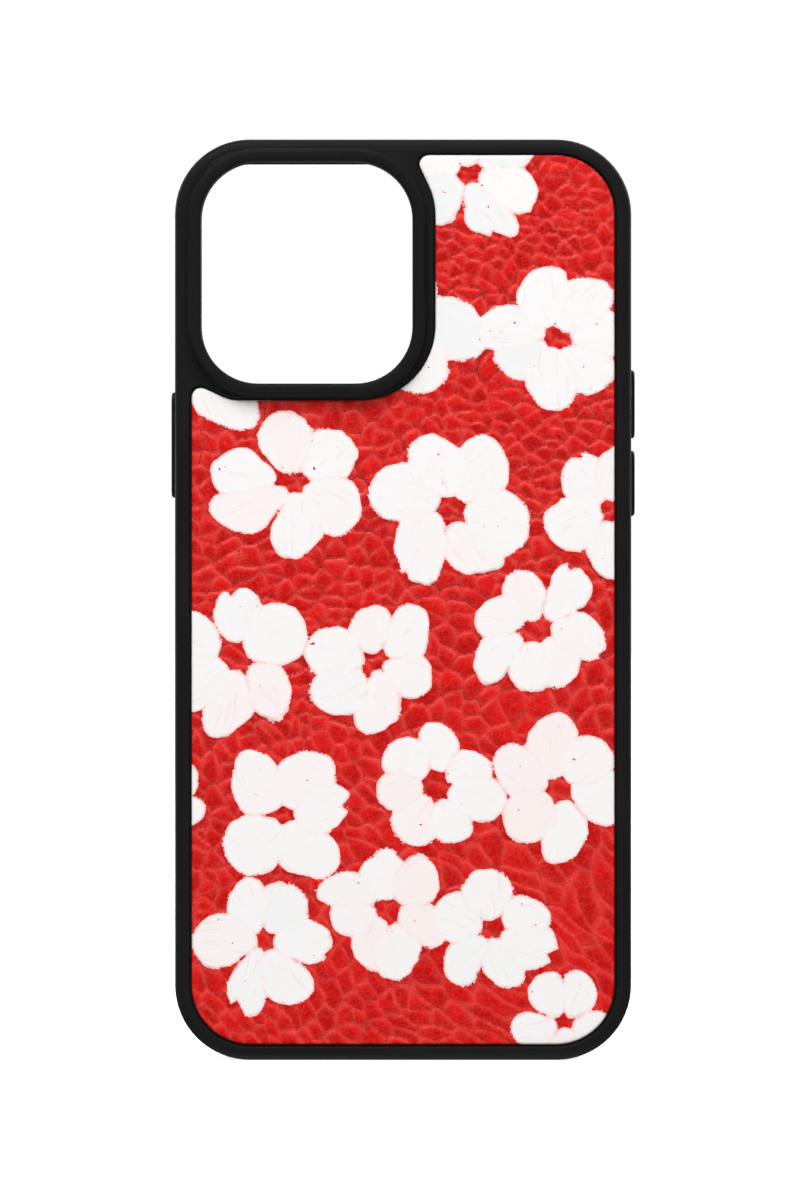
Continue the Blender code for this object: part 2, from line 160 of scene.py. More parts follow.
@dataclass(frozen=True)
class Outline:
    """A closed outline in the (x, z) plane, with its corners counter-clockwise as seen from behind.

    Attributes:
        corners: One row (x, z) for each corner.
    """

    corners: Array

    @classmethod
    def of_node(cls, node: str) -> "Outline":
        """The outline of a flat node's rear face: the edges that only one of the face's triangles has.

        Args:
            node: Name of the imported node.

        Returns:
            Its outline.
        """
        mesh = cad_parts[node].data
        places = np.empty(len(mesh.vertices) * 3, np.float32)
        mesh.vertices.foreach_get("co", places)
        places = places.reshape(-1, 3).astype(float) / MM
        mesh.calc_loop_triangles()
        triangles = np.empty(len(mesh.loop_triangles) * 3, np.int32)
        mesh.loop_triangles.foreach_get("vertices", triangles)
        triangles = triangles.reshape(-1, 3)
        on_face = np.abs(places[:, 1] - places[:, 1].min()) < WELD
        triangles = triangles[on_face[triangles].all(axis=1)]
        corners, welded = np.unique(np.round(places[:, [0, 2]], 3), axis=0, return_inverse=True)
        triangles = welded.reshape(-1)[triangles]
        edges = np.concatenate([triangles[:, [0, 1]], triangles[:, [1, 2]], triangles[:, [2, 0]]])
        known = {tuple(edge) for edge in edges.tolist()}
        onward = {start: end for start, end in known if (end, start) not in known}
        order = [next(iter(sorted(onward)))]
        while len(order) < len(onward):
            order.append(onward[order[-1]])
        return cls(corners[order])

    @property
    def area(self) -> float:
        """The area inside, in square millimetres, by the shoelace rule."""
        x, z = self.corners.T
        return float(abs(np.dot(x, np.roll(z, -1)) - np.dot(z, np.roll(x, -1))) / 2)

    @property
    def size(self) -> Array:
        """The width and the height."""
        return np.ptp(self.corners, axis=0)

    def resampled(self, pitch: float) -> tuple[Array, Array]:
        """Points at an even spacing along the outline.

        Args:
            pitch: Wanted spacing.

        Returns:
            The points, and the unit vector out of the outline at each.
        """
        closed = np.vstack([self.corners, self.corners[:1]])
        travelled = np.concatenate([[0.0], np.cumsum(np.hypot(*np.diff(closed, axis=0).T))])
        count = round(travelled[-1] / pitch)
        stops = np.arange(count) * travelled[-1] / count
        points = np.stack([np.interp(stops, travelled, closed[:, axis]) for axis in (0, 1)], axis=1)
        tangent = np.roll(points, -2, axis=0) - np.roll(points, 2, axis=0)
        tangent /= np.hypot(*tangent.T)[:, None]
        return points, np.stack([tangent[:, 1], -tangent[:, 0]], axis=1)

    def depth(self, points: Array) -> Array:
        """How far each point lies inside the outline, and below zero outside.

        The distance is the least one to any side, and a point is inside if a ray to the right crosses the
        sides an odd number of times.

        Args:
            points: Rows of (x, z).

        Returns:
            The distance inside at each point.
        """
        nearest = np.full(len(points), np.inf)
        inside = np.zeros(len(points), bool)
        for start, end in zip(self.corners, np.roll(self.corners, -1, axis=0)):
            side, gap = end - start, points - start
            share = np.clip(gap @ side / (side @ side), 0.0, 1.0)
            nearest = np.minimum(nearest, np.hypot(*(gap - share[:, None] * side).T))
            spans = (start[1] > points[:, 1]) != (end[1] > points[:, 1])
            if side[1]:
                inside ^= spans & (points[:, 0] < start[0] + gap[:, 1] / side[1] * side[0])
        return np.where(inside, nearest, -nearest)


# Sheets: a flat cut with a rolled edge, whose seen face carries a relief.


@dataclass
class Sheet:
    """A flat sheet, triangulated finely enough to carry a relief on its seen face.

    Attributes:
        outline: The cut.
        facing: Which way the seen face looks.
        face_y: Where the seen face lies.
        back_y: Where the other face lies.
        pitch: Spacing of the points.
        roll: Radius of the rolled edge.
        rings: Steps of the rolled edge.
        margin: Least distance of the lattice from the rolled edge, as a share of the pitch.
        edge_relief: Share of the relief that is left at the cut.
        edge_reach: Distance from the cut at which the relief is whole.
        places: Where each point is.
        inset: How far inside the cut each point lies.
        seen: Whether each point is on the seen face or its rolled edge.
        faces: The points of each face.
    """

    outline: Outline
    facing: Facing
    face_y: float
    back_y: float
    pitch: float
    roll: float
    rings: int = 4
    margin: float = 0.6
    edge_relief: float = 0.3
    edge_reach: float = 1.2
    places: Array = field(init=False)
    inset: Array = field(init=False)
    seen: Array = field(init=False)
    faces: list[list[int]] = field(init=False)

    def lattice(self) -> Array:
        """Points of a lattice of equal triangles that lie clear of the rolled edge.

        Returns:
            Rows of (x, z).
        """
        low, high = self.outline.corners.min(axis=0), self.outline.corners.max(axis=0)
        rise = self.pitch * math.sqrt(3) / 2
        rows = np.arange(low[1], high[1], rise)
        columns = np.arange(low[0], high[0], self.pitch)
        x, z = np.meshgrid(columns, rows)
        x = x + (np.arange(len(rows)) % 2)[:, None] * self.pitch / 2
        points = np.stack([x.ravel(), z.ravel()], axis=1)
        return points[self.outline.depth(points) > self.roll + self.pitch * self.margin]

    def triangulate(self, points: Array, loop: Array) -> Array:
        """Delaunay triangles over the points, inside the loop.

        Args:
            points: Rows of (x, z).
            loop: Indices of the points along the edge, in order.

        Returns:
            Three indices for each triangle, counter-clockwise.
        """
        edges = np.stack([loop, np.roll(loop, -1)], axis=1).tolist()
        found = delaunay_2d_cdt([Vector(point) for point in points.tolist()], edges, [], 1, JOIN)
        source = np.array([origin[0] for origin in found[3]])
        triangles = source[np.array(found[2])]
        a, b, c = (points[triangles[:, corner]] for corner in range(3))
        turn = (b[:, 0] - a[:, 0]) * (c[:, 1] - a[:, 1]) - (b[:, 1] - a[:, 1]) * (c[:, 0] - a[:, 0])
        triangles[turn < 0] = triangles[turn < 0][:, ::-1]
        return triangles

    def lay_out(self, gather: Callable[[Array], Array] | None = None) -> None:
        """Work out the points and the triangles of the flat sheet.

        The rolled edge is a quarter circle: at angle t a point lies roll * (1 - sin t) inside the cut and
        roll * (1 - cos t) behind the face.

        Args:
            gather: A function that may move the lattice's points before they are joined.
        """
        inner = self.lattice()
        if gather is not None:
            inner = gather(inner)
        rim, outward = self.outline.resampled(self.pitch)
        turns = np.linspace(0.0, math.pi / 2, self.rings + 1)
        insets = [*(self.roll * (1 - np.sin(turns))), 0.0]
        thickness = abs(self.back_y - self.face_y)
        drops = [*(self.roll * (1 - np.cos(turns))), thickness]
        flat = np.concatenate([inner] + [rim - outward * inset for inset in insets])
        drop = np.concatenate([np.zeros(len(inner))] + [np.full(len(rim), value) for value in drops])
        self.places = np.stack([flat[:, 0], self.face_y - self.facing.value * drop, flat[:, 1]], axis=1)
        edge = [np.full(len(rim), float(inset)) for inset in insets]
        self.inset = np.concatenate([self.outline.depth(inner)] + edge)
        self.seen = np.ones(len(flat), bool)
        self.seen[-len(rim) :] = False

        count = len(rim)
        first = len(inner) + np.arange(count)
        face = self.triangulate(flat[: len(inner) + count], first)
        steps = []
        for ring in range(len(insets) - 1):
            near, far = first + ring * count, first + (ring + 1) * count
            steps.append(np.stack([near, far, np.roll(far, -1), np.roll(near, -1)], axis=1))
        last = first + (len(insets) - 1) * count
        back = self.triangulate(flat[last], np.arange(count)) + last[0]
        sides = np.concatenate(steps)
        if self.facing is Facing.REAR:
            back = back[:, ::-1]
        else:
            face, sides = face[:, ::-1], sides[:, ::-1]
        self.faces = face.tolist() + sides.tolist() + back.tolist()

    def raise_relief(self, height: Array) -> None:
        """Move the seen face's points outwards, by less towards the cut edge, which the roll presses flat."""
        held = self.edge_relief + (1 - self.edge_relief) * smooth_step(self.inset, 0.0, self.edge_reach)
        self.places[:, 1] += self.facing.value * np.where(self.seen, height * held, 0.0)

    def make(self, name: str, values: dict[str, Array]) -> bpy.types.Object:
        """Put the sheet in the scene.

        Args:
            name: Name of the new piece.
            values: A number or a vector for each point, by the attribute's name.

        Returns:
            The new piece, shaded smooth.
        """
        mesh = bpy.data.meshes.new(name)
        mesh.from_pydata((self.places * MM).tolist(), [], self.faces)
        for key, value in values.items():
            kind, channel = ("FLOAT", "value") if value.ndim == 1 else ("FLOAT_VECTOR", "vector")
            attribute = mesh.attributes.new(key, kind, "POINT")
            attribute.data.foreach_set(channel, value.astype(np.float32).ravel())
        mesh.shade_smooth()
        mesh.validate()
        piece = bpy.data.objects.new(name, mesh)
        bpy.context.scene.collection.objects.link(piece)
        return piece


# The grain of the leather.


@dataclass(frozen=True)
class Cells:
    """What a cell pattern is like at each of some points.

    Attributes:
        gap: Distance to the nearest border, rounded where borders meet.
        towards: Step from the point to the nearest border.
        away: Step from the cell's seed to the point.
        traits: Three numbers from -0.5 to 0.5 that are the same over a cell.
    """

    gap: Array
    towards: Array
    away: Array
    traits: Array


@dataclass(frozen=True)
class CellPattern:
    """Cells around seeds that are strewn on rows of bricks.

    Attributes:
        width: Width of a brick.
        rise: Height of a brick.
        stray: How far a seed strays along its row, and across it, as shares of the brick.
        junction: Rounding of the places where borders meet.
        seed: Which pattern it is.
    """

    width: float
    rise: float
    stray: tuple[float, float]
    junction: float
    seed: int

    def seeds(self, column: Array, row: Array) -> tuple[Array, Array]:
        """The seed of each brick, which strays from the brick's middle, and the brick's traits.

        Args:
            column: Column of each brick.
            row: Row of each brick. Every other row is shifted by half a brick.

        Returns:
            The seeds, and three numbers from -0.5 to 0.5 for each.
        """
        side = TABLE_SIDE
        table = np.random.default_rng(self.seed).uniform(-0.5, 0.5, (side, side, 5))
        random = table[column % side, row % side]
        x = (column + 0.5 + 0.5 * (row % 2) + self.stray[0] * random[:, 0]) * self.width
        z = (row + 0.5 + self.stray[1] * random[:, 1]) * self.rise
        return np.stack([x, z], axis=1), random[:, 2:]

    def read(self, place: Array) -> Cells:
        """The cells at each point.

        The border between two seeds is the line half way between them, and the distance to it is measured
        along the line that joins them. The distances to all the borders around a cell are joined by the
        smooth minimum -k log(sum(exp(-d / k))).

        Args:
            place: Rows of two coordinates.

        Returns:
            The cells there.
        """
        row = np.floor(place[:, 1] / self.rise).astype(int)
        column = np.floor(place[:, 0] / self.width - 0.5 * (row % 2)).astype(int)
        around = list(itertools.product(range(-2, 3), repeat=2))
        least = np.full(len(place), np.inf)
        own, traits = np.zeros_like(place), np.zeros((len(place), 3))
        for across, up in around:
            seed, random = self.seeds(column + across, row + up)
            far = np.hypot(*(seed - place).T)
            closer = far < least
            least = np.where(closer, far, least)
            own[closer], traits[closer] = seed[closer], random[closer]
        nearest, total = np.full(len(place), np.inf), np.zeros(len(place))
        towards = np.zeros_like(place)
        for across, up in around:
            seed, _ = self.seeds(column + across, row + up)
            line = seed - own
            length = np.hypot(*line.T)
            other = length > JOIN
            line[other] /= length[other][:, None]
            gap = np.where(other, np.einsum("ij,ij->i", (own + seed) / 2 - place, line), np.inf)
            total += np.exp(-gap / self.junction)
            closer = gap < nearest
            nearest = np.where(closer, gap, nearest)
            towards[closer] = line[closer]
        rounded = np.maximum(-self.junction * np.log(total), 0.0)
        return Cells(rounded, towards * nearest[:, None], place - own, traits)


@dataclass(frozen=True)
class Pebbles:
    """What the grain is like at each of some points.

    Attributes:
        crease: Distance to the nearest crease.
        depth: How deep the creases are there, from 0 to 1.
        tone: A number from -1 to 1 that is the same over a pebble.
        lie: How high in its pebble the point lies, from -1 at the lower rim to 1 at the upper one.
        height: Height of the surface.
    """

    crease: Array
    depth: Array
    tone: Array
    lie: Array
    height: Array


@dataclass(frozen=True)
class Grain:
    """The pebbles pressed into the leather, in rows that wander, with small folds across them.

    Attributes:
        pebbles: Pattern of the pebbles.
        folds: Pattern of the small folds.
        folds_aside: How far the folds' pattern is moved, so that it owes nothing to the pebbles'.
        crease_depth: Depth of the deepest creases.
        crease_reach: Distance over which a crease falls away.
        mean_depth: Mean depth of a crease, as a share of the deepest.
        least_depth: Least depth of a crease, as a share of the deepest.
        dome: Height of a pebble's middle over its rim.
        dome_reach: Distance from a crease over which a pebble rises.
        least_dome: Share of the dome that is left where the creases are shallowest.
        fold_depth: Depth of the deepest folds.
        fold_reach: Distance over which a fold falls away.
        mean_folds: Mean depth of a fold, as a share of the deepest.
        tilt: Greatest slope of a whole pebble.
        step: How far apart in height the highest and the lowest pebble lie.
        growth: How much larger the pebbles are at the bottom of the hide.
        growth_zone: Heights between which that growth fades out, going up.
        level: Height at which rows keep their place as the pebbles grow.
        lean: Slope of the rows at the top, and how much steeper it is at the bottom.
        pressed: How much flatter the pebbles are at the bottom of the hide.
        pressed_zone: Heights between which that flattening fades out, going up.
        moves: Size and reach of each noise that moves the pattern.
        seed: Which noise moves the pattern.
        patches: Where the creases are deeper or shallower than their mean.
        fold_patches: Where there are more folds or fewer.
        ripple: Fine ripples over all.
        sway: Slow waves over all.
        lift: Height added over all.
        passes: How many times points are moved on towards a crease.
    """

    pebbles: CellPattern = CellPattern(3.85, 2.3, (0.90, 0.34), 0.07, 55)
    folds: CellPattern = CellPattern(1.6, 1.25, (0.95, 0.95), 0.06, 56)
    folds_aside: float = 300.0
    crease_depth: float = 0.17
    crease_reach: float = 0.24
    mean_depth: float = 0.62
    least_depth: float = 0.12
    dome: float = 0.22
    dome_reach: float = 0.75
    least_dome: float = 0.45
    fold_depth: float = 0.05
    fold_reach: float = 0.2
    mean_folds: float = 0.35
    tilt: float = 0.10
    step: float = 0.06
    growth: float = 0.15
    growth_zone: tuple[float, float] = (20.0, 120.0)
    level: float = 70.0
    lean: tuple[float, float] = (0.10, 0.25)
    pressed: float = 0.42
    pressed_zone: tuple[float, float] = (15.0, 85.0)
    moves: tuple[tuple[float, float], ...] = ((44.0, 6.5), (12.0, 1.5), (4.3, 0.55), (1.7, 0.20))
    seed: int = 5
    patches: Wave = Wave(2.9, 2.6, 0.62, 65)
    fold_patches: Wave = Wave(3.7, 3.7, 0.9, 68)
    ripple: Wave = Wave(1.05, 0.95, 0.022, 66)
    sway: Wave = Wave(9.0, 9.0, 0.03, 67)
    lift: float = 0.04
    passes: int = 3

    def warp(self, points: Array) -> Array:
        """Points moved so that the rows of pebbles lean and wander as they do on a hide.

        The rows fall to the right, by a slope that grows towards the bottom, where the pebbles are larger
        too. Noise of several sizes then moves every point.

        Args:
            points: Rows of (x, z).

        Returns:
            The place of each point in the patterns.
        """
        x, z = points.T
        low = 1 - smooth_step(z, *self.growth_zone)
        lean, grown = self.lean[0] + self.lean[1] * low, self.growth * low
        shift = np.stack([-grown * x, lean * x - grown * (z - self.level)], axis=1)
        for (index, (size, reach)), axis in itertools.product(enumerate(self.moves), (0, 1)):
            shift[:, axis] += Wave(size, size, reach, self.seed + 2 * index + axis).read(x, z)
        return points + shift

    def read(self, points: Array) -> Pebbles:
        """The grain at each point.

        A pebble rises from its creases as 1 - exp(-d / reach), once steeply for the crease and once gently
        for the dome, leans by a slope of its own and lies a little higher or lower than its neighbours. Folds
        cut in as exp(-d / reach), and ripples and slow waves are added.

        Args:
            points: Rows of (x, z).

        Returns:
            The grain there.
        """
        place = self.warp(points)
        pebble, fold = self.pebbles.read(place), self.folds.read(place + self.folds_aside)
        u, v = place.T
        x, z = points.T
        swell = 1 - self.pressed * (1 - smooth_step(z, *self.pressed_zone))
        depth = np.clip(self.mean_depth + self.patches.read(u, v), self.least_depth, 1.0) * swell
        folded = np.clip(self.mean_folds + self.fold_patches.read(u, v), 0.0, 1.0)
        slope = np.einsum("ij,ij->i", pebble.away, pebble.traits[:, :2]) * 2 * self.tilt * swell
        dome = self.dome * swell * (self.least_dome + (1 - self.least_dome) * depth)
        height = (
            -self.crease_depth * depth * np.exp(-pebble.gap / self.crease_reach)
            - dome * np.exp(-pebble.gap / self.dome_reach)
            - self.fold_depth * folded * np.exp(-fold.gap / self.fold_reach)
            + slope
            + self.step * pebble.traits[:, 2]
            + self.ripple.read(x, z)
            + self.sway.read(x, z)
            + self.lift
        )
        # The shader reads this to paint the upper part of each pebble lighter and the lower part darker, as
        # light and shade.
        lie = np.clip(pebble.away[:, 1] / (self.pebbles.rise / 2), -1.0, 1.0)
        return Pebbles(pebble.gap, depth, pebble.traits[:, 2] * 2, lie, height)

    def gather(self, points: Array, reach: float) -> Array:
        """Points moved onto a crease that is near, so that its bottom is a sharp line in the mesh.

        The step to the nearest crease is measured in the moved pattern, which is nearly the same as on the
        leather, so a few steps end on it.

        Args:
            points: Rows of (x, z).
            reach: The furthest that a point moves.

        Returns:
            The moved points.
        """
        start = points
        for _ in range(self.passes):
            moved = points + self.pebbles.read(self.warp(points)).towards - start
            near = np.hypot(*moved.T) < reach
            points = np.where(near[:, None], start + moved, points)
        return points


# The print.


@dataclass(frozen=True)
class Flower:
    """A flower painted with a broad brush, one stroke to a petal.

    Attributes:
        x: Place of its middle.
        z: Place of its middle.
        reach: How far its petals reach.
        petals: How many it has.
        turn: Direction of the first petal, in degrees from +X towards +Z.
    """

    x: float
    z: float
    reach: float
    petals: int
    turn: float


FLOWERS = (
    Flower(12, 159, 12, 6, 280),
    Flower(27, 129, 13, 7, 5),
    Flower(0, 131, 13, 5, 10),
    Flower(-34, 127, 13.5, 5, 272),
    Flower(-20, 103, 13.5, 6, 100),
    Flower(8, 99, 14, 6, 103),
    Flower(37, 99, 12, 6, 85),
    Flower(24, 77, 13, 7, 104),
    Flower(-30, 72, 14, 6, 92),
    Flower(-5, 71, 12.5, 6, 100),
    Flower(-43, 48, 8.5, 6, 20),
    Flower(-21, 44, 12, 5, 4),
    Flower(6, 49, 12, 7, 81),
    Flower(28, 49, 12.5, 6, 110),
    Flower(-25, 21, 12, 6, 119),
    Flower(-3, 27, 12, 7, 90),
    Flower(16, 23, 11, 6, 97),
    Flower(29, 7, 9, 5, 57),
)


@dataclass(frozen=True)
class Paint:
    """What the print is like at each of some points.

    Attributes:
        edge: How far the point lies inside the print, and below zero outside.
        stroke_edge: How far it lies inside the stroke that is on top there.
        brush: Place along the stroke, place across it, and a number of the stroke's own.
        tone: Tone of the stroke, from -1, cool, to 1, warm.
    """

    edge: Array
    stroke_edge: Array
    brush: Array
    tone: Array


@dataclass(frozen=True)
class Stroke:
    """One petal: a stroke of the brush outwards from a flower's middle.

    Its shape is two circles and the straight sides that touch both.

    Attributes:
        flower: The flower it belongs to.
        angle: Its direction, in radians.
        near: Radius of the first circle.
        far: Radius of the second circle.
        begin: Distance from the flower's middle to the middle of the first circle.
        length: Distance between the middles of the circles.
        tone: Its tone, from -1, cool, to 1, warm.
        bend: How much it curves: it strays by this times the square of the distance from the flower's middle.
        notch: Depth of the cleft in its end, where it has one.
        aside: How far the cleft lies off its middle line.
        number: A number of its own.
    """

    flower: Flower
    angle: float
    near: float
    far: float
    begin: float
    length: float
    tone: float
    bend: float
    notch: float
    aside: float
    number: float

    def place(self, points: Array) -> tuple[Array, Array]:
        """Where points lie along the stroke and across it.

        Args:
            points: Rows of (x, z).

        Returns:
            The distance from the flower's middle along the stroke, and the distance off its curved line.
        """
        x, z = points[:, 0] - self.flower.x, points[:, 1] - self.flower.z
        along = x * math.cos(self.angle) + z * math.sin(self.angle)
        across = z * math.cos(self.angle) - x * math.sin(self.angle)
        return along, across + self.bend * along**2

    def depth(self, along: Array, across: Array) -> Array:
        """How far places lie inside the stroke.

        Args:
            along: Distance from the flower's middle along the stroke.
            across: Distance off the stroke's line.

        Returns:
            The distance inside, below zero outside.
        """
        off, run = np.abs(across), along - self.begin
        lean = (self.near - self.far) / self.length
        upright = math.sqrt(1 - lean * lean)
        level = -lean * off + upright * run
        side = upright * off + lean * run - self.near
        start = np.hypot(off, run) - self.near
        end = np.hypot(off, run - self.length) - self.far
        return -np.where(level < 0, start, np.where(level > upright * self.length, end, side))

    def cleft(self, along: Array, across: Array, slope: float) -> Array:
        """How far places lie outside the cleft in the stroke's end, a V whose point is a notch's depth in.

        Args:
            along: Distance from the flower's middle along the stroke.
            across: Distance off the stroke's line.
            slope: Steepness of the V's sides.

        Returns:
            The distance outside the cleft, below zero inside.
        """
        tip = self.begin + self.length + self.far - self.notch
        return slope * np.abs(across - self.aside) - slope * (along - tip)


@dataclass(frozen=True)
class FlowerPrint:
    """The flowers printed on the leather.

    A pair of numbers below is a range from which each stroke draws its own.

    Attributes:
        flowers: Where they are.
        seed: Which strokes they are painted with.
        crowd: How far petals crowd over their neighbours: 1 where their widest places just meet.
        tone_spread: How far tones stray, for a whole flower and again for a stroke.
        stray: How far a stroke strays from its even direction, in degrees.
        reach: How far a stroke reaches, as a share of the flower's reach.
        far: Radius of its second circle, as a share of an even petal's.
        near: Radius of its first circle, as a share of the second's.
        begin: Distance from the flower's middle to the stroke, as a share of the flower's reach.
        least_length: Least distance between a stroke's two circles, as a share of how much they differ.
        bend: How much the most curved stroke curves.
        notch: Depth of the cleft in its end.
        least_notch: A shallower cleft than this is left out.
        aside: How far the cleft lies off the middle, as a share of the second circle.
        cleft_slope: Steepness of the cleft's sides.
        edge_waves: How the bristles wander along the edges.
    """

    flowers: tuple[Flower, ...] = FLOWERS
    seed: int = 3
    crowd: float = 1.26
    tone_spread: float = 0.6
    stray: float = 7.0
    reach: tuple[float, float] = (0.83, 1.09)
    far: tuple[float, float] = (0.84, 1.10)
    near: tuple[float, float] = (0.55, 0.72)
    begin: tuple[float, float] = (0.10, 0.21)
    least_length: float = 1.25
    bend: float = 0.02
    notch: tuple[float, float] = (-6.0, 1.9)
    least_notch: float = 0.6
    aside: float = 0.6
    cleft_slope: float = 0.7
    edge_waves: tuple[Wave, ...] = (Wave(3.6, 3.6, 0.42, 23), Wave(1.2, 1.2, 0.16, 24))

    def strokes(self) -> Iterator[Stroke]:
        """Draw the strokes, in the order in which they are laid.

        For n petals whose outer circles have their middles at a distance d, neighbours just meet if their
        radius is d sin(pi / n). An even petal is broader than that by the crowd, and reaches as far as its
        flower does.

        Yields:
            Each stroke.
        """
        random = np.random.default_rng(self.seed)
        for index, flower in enumerate(self.flowers):
            crowd = self.crowd * math.sin(math.pi / flower.petals)
            broad = flower.reach * crowd / (1 + crowd)
            cast = random.uniform(-self.tone_spread, self.tone_spread)
            for petal in random.permutation(flower.petals):
                stray = random.uniform(-self.stray, self.stray)
                reach = flower.reach * random.uniform(*self.reach)
                far = broad * random.uniform(*self.far)
                near = far * random.uniform(*self.near)
                begin = near + flower.reach * random.uniform(*self.begin)
                tone = cast + random.uniform(-self.tone_spread, self.tone_spread)
                bend = self.bend * random.uniform(-1, 1)
                notch = random.uniform(*self.notch)
                yield Stroke(
                    flower=flower,
                    angle=math.radians(flower.turn + 360 * petal / flower.petals + stray),
                    near=near,
                    far=far,
                    begin=begin,
                    length=max(reach - far - begin, self.least_length * (far - near)),
                    tone=float(np.clip(tone, -1, 1)),
                    bend=bend,
                    notch=notch,
                    aside=far * random.uniform(-self.aside, self.aside),
                    number=index * 9.0 + petal,
                )

    def read(self, points: Array) -> Paint:
        """The print at each point, with the strokes laid one over another in order.

        The strokes start a little way from the middle, which leaves an uneven patch of bare leather there.
        Some of them end in a cleft, where the bristles parted.

        Args:
            points: Rows of (x, z).

        Returns:
            The print there.
        """
        x, z = points.T
        u, v = (x + z) * math.sqrt(0.5), (z - x) * math.sqrt(0.5)
        wobble = sum(wave.read(u, v) for wave in self.edge_waves)
        edge = np.full(len(points), OUTSIDE)
        stroke_edge, tone = np.zeros(len(points)), np.zeros(len(points))
        brush = np.zeros((len(points), 3))
        for stroke in self.strokes():
            along, across = stroke.place(points)
            inside = stroke.depth(along, across) + wobble
            if stroke.notch > self.least_notch:
                inside = np.minimum(inside, stroke.cleft(along, across, self.cleft_slope))
            edge = np.maximum(edge, inside)
            over = inside > 0
            stroke_edge[over], tone[over] = inside[over], stroke.tone
            brush[over] = np.stack([along, across, np.full(len(x), stroke.number)], axis=1)[over]
        return Paint(edge, stroke_edge, brush, tone)


# Shaders.


class Shader:
    """Adds and joins the nodes of one material."""

    def __init__(self, name: str) -> None:
        """Start a material that has only its Principled shader.

        Args:
            name: Name of the material.
        """
        self.material = bpy.data.materials.new(name)
        self.material.use_nodes = True
        self.nodes = self.material.node_tree.nodes
        self.links = self.material.node_tree.links
        self.principled = self.nodes["Principled BSDF"]

    def put(self, socket: Socket, value: Value) -> None:
        """Join a socket to another, or set it to a value.

        Args:
            socket: The input.
            value: What goes into it.
        """
        if isinstance(value, Socket):
            self.links.new(value, socket)
        elif isinstance(value, tuple) and socket.type == "RGBA":
            socket.default_value = (*value, 1.0)
        else:
            socket.default_value = value

    def add(
        self, kind: str, inputs: dict[str | int, Value], output: int | str = 0, **settings: str
    ) -> Socket:
        """Add a node and return one of its outputs.

        Args:
            kind: Blender's name of the node's type.
            inputs: A value or a socket for each input, by name or number.
            output: Name or number of the output that is wanted.
            **settings: The node's own properties.

        Returns:
            The output.
        """
        node = self.nodes.new(kind)
        for key, value in settings.items():
            setattr(node, key, value)
        for key, value in inputs.items():
            self.put(node.inputs[key], value)
        return node.outputs[output]

    def maths(self, operation: str, *values: Socket | float) -> Socket:
        """One step of arithmetic."""
        return self.add("ShaderNodeMath", dict(enumerate(values)), operation=operation)

    def ramp(self, value: Socket, start: float, end: float, low: float = 0.0, high: float = 1.0) -> Socket:
        """A value that goes smoothly from low to high as another goes from start to end."""
        inputs = {"Value": value, "From Min": start, "From Max": end, "To Min": low, "To Max": high}
        return self.add("ShaderNodeMapRange", inputs, interpolation_type="SMOOTHSTEP")

    def mix(self, share: Socket | float, first: Socket | Colour, second: Socket | Colour) -> Socket:
        """A blend of two colours."""
        return self.add("ShaderNodeMix", {0: share, 6: first, 7: second}, 2, data_type="RGBA")

    def attribute(self, name: str, output: str = "Fac") -> Socket:
        """One of the piece's own attributes."""
        return self.add("ShaderNodeAttribute", {}, output, attribute_name=name)

    def place(self, stretch: tuple[float, float, float] = (1.0, 1.0, 1.0)) -> Socket:
        """Where the surface is in the piece's own space, in millimetres.

        Args:
            stretch: What each coordinate is multiplied by.

        Returns:
            The place.
        """
        here = self.add("ShaderNodeTexCoord", {}, "Object")
        scale = tuple(value / MM for value in stretch)
        return self.add("ShaderNodeVectorMath", {0: here, 1: Vector(scale)}, operation="MULTIPLY")

    def noise(self, size: float, detail: float = 2.0, where: Socket | None = None) -> Socket:
        """Noise around a half, whose lumps are about this size in millimetres."""
        inputs = {"Vector": where or self.place(), "Scale": 1 / size, "Detail": detail}
        return self.add("ShaderNodeTexNoise", inputs, "Fac")

    def cells(self, size: float, where: Socket) -> Socket:
        """Distance to the edges of cells of this size, as a share of the size."""
        inputs = {"Vector": where, "Scale": 1 / size}
        return self.add("ShaderNodeTexVoronoi", inputs, "Distance", feature="DISTANCE_TO_EDGE")

    def bump(self, height: Socket, depth: float, under: Socket | None = None) -> Socket:
        """A normal from a height between 0 and 1.

        Args:
            height: The height.
            depth: What a height of 1 stands for, in millimetres.
            under: A normal that it is laid over.

        Returns:
            The normal.
        """
        inputs: dict[str | int, Value] = {"Height": height, "Distance": depth * MM, "Strength": 1.0}
        if under is not None:
            inputs["Normal"] = under
        return self.add("ShaderNodeBump", inputs)

    def surface(self, **inputs: Value) -> bpy.types.Material:
        """Set the Principled shader's inputs.

        Args:
            **inputs: A value or a socket for each input, whose name has _ for a space.

        Returns:
            The finished material.
        """
        for key, value in inputs.items():
            self.put(self.principled.inputs[key.replace("_", " ")], value)
        return self.material


